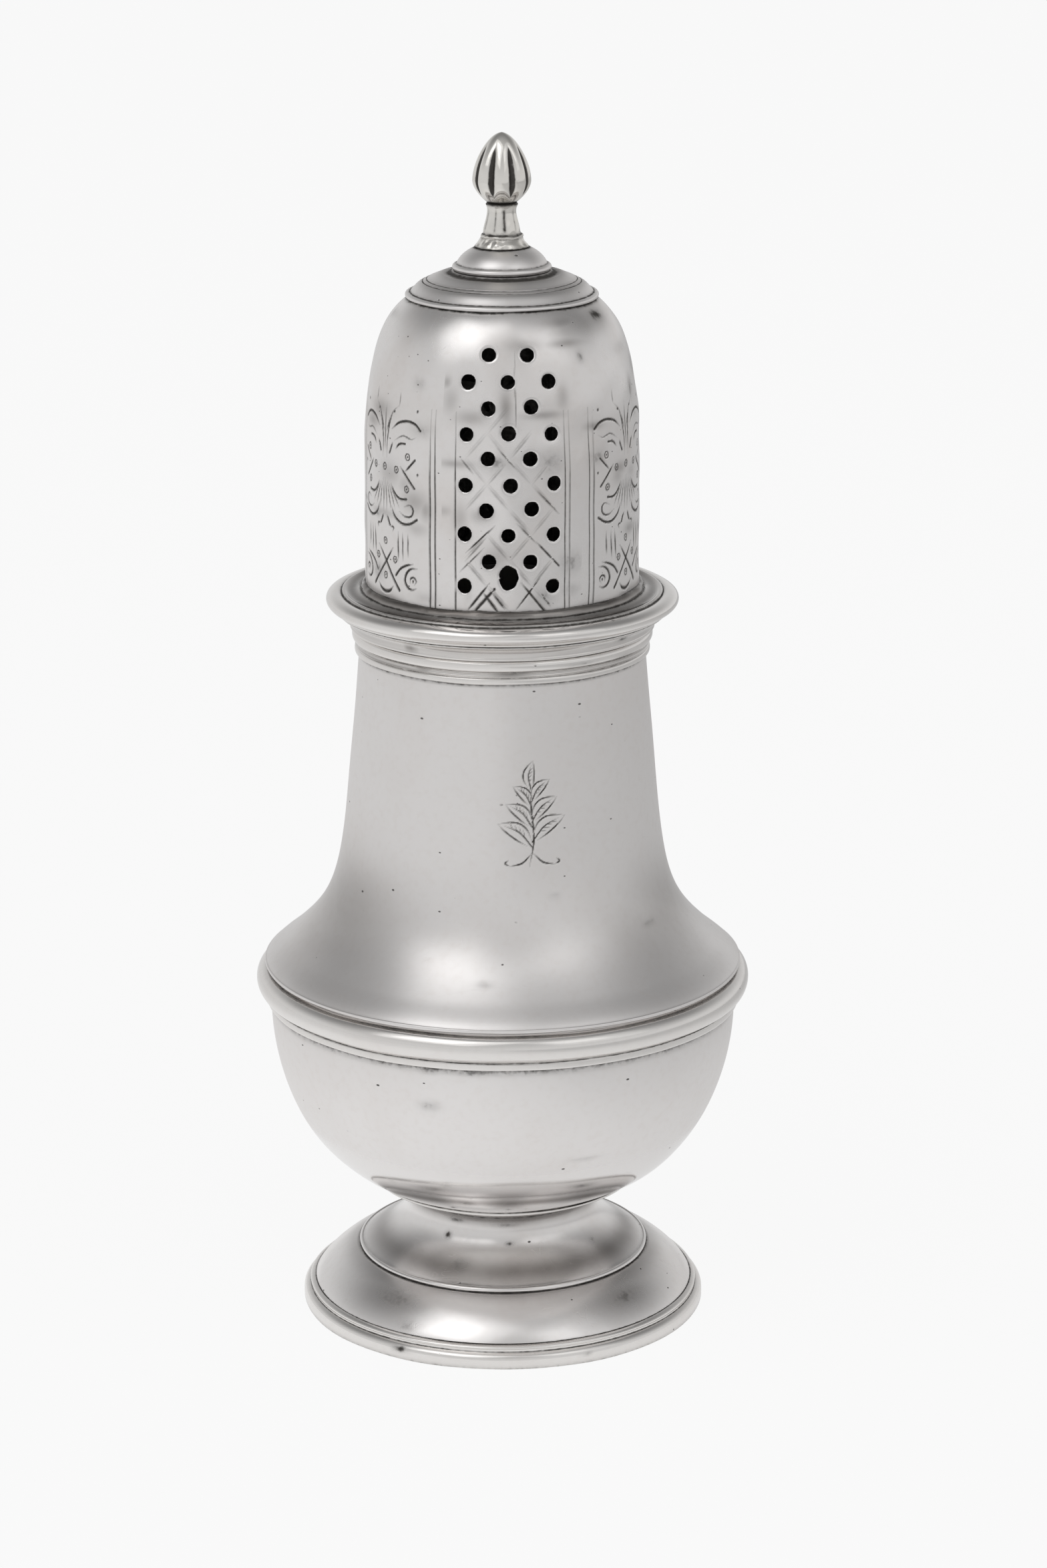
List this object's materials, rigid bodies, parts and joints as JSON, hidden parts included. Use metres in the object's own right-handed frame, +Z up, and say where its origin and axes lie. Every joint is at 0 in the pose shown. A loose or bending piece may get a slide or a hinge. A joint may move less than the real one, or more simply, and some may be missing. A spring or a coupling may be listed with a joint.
{
  "type": "sugar caster",
  "caption": "Vase-shaped silver sugar caster on a spreading foot, with a girdle moulding and a pierced domed cover that lifts off, topped by a bud finial.",
  "frame": {"origin": "centre of the foot's underside, on the table", "axes": "+Z up along the turned axis; -Y is the front, where a pierced panel of the cover faces"},
  "size_m": [0.0752, 0.0748, 0.1813],
  "materials": {
    "satin_silver": "softly worn satin silver with dark tarnish in the cut lines",
    "bright_silver": "polished silver mouldings",
    "cast_silver": "cast and polished silver, a little warmer"
  },
  "bodies": {
    "caster_body": {"foot_rim": "bright_silver", "foot_dish": "satin_silver", "foot_spool": "satin_silver", "foot_collar": "bright_silver", "bowl": "satin_silver", "girdle_moulding": "bright_silver", "upper_body": "satin_silver", "neck_moulding": "bright_silver"},
    "cover": {"cover_sleeve": "satin_silver", "cover_flange": "bright_silver", "dome_foot_wire": "bright_silver", "pierced_dome": "satin_silver", "cover_cap": "satin_silver", "finial_plinth": "satin_silver", "finial_stem": "cast_silver", "finial_bud": "cast_silver"}
  },
  "joints": [
    {"name": "cover_lift", "type": "slide", "parent": "caster_body", "child": "cover", "axis": [0, 0, 1], "range_m": [0, 0.06]}
  ]
}
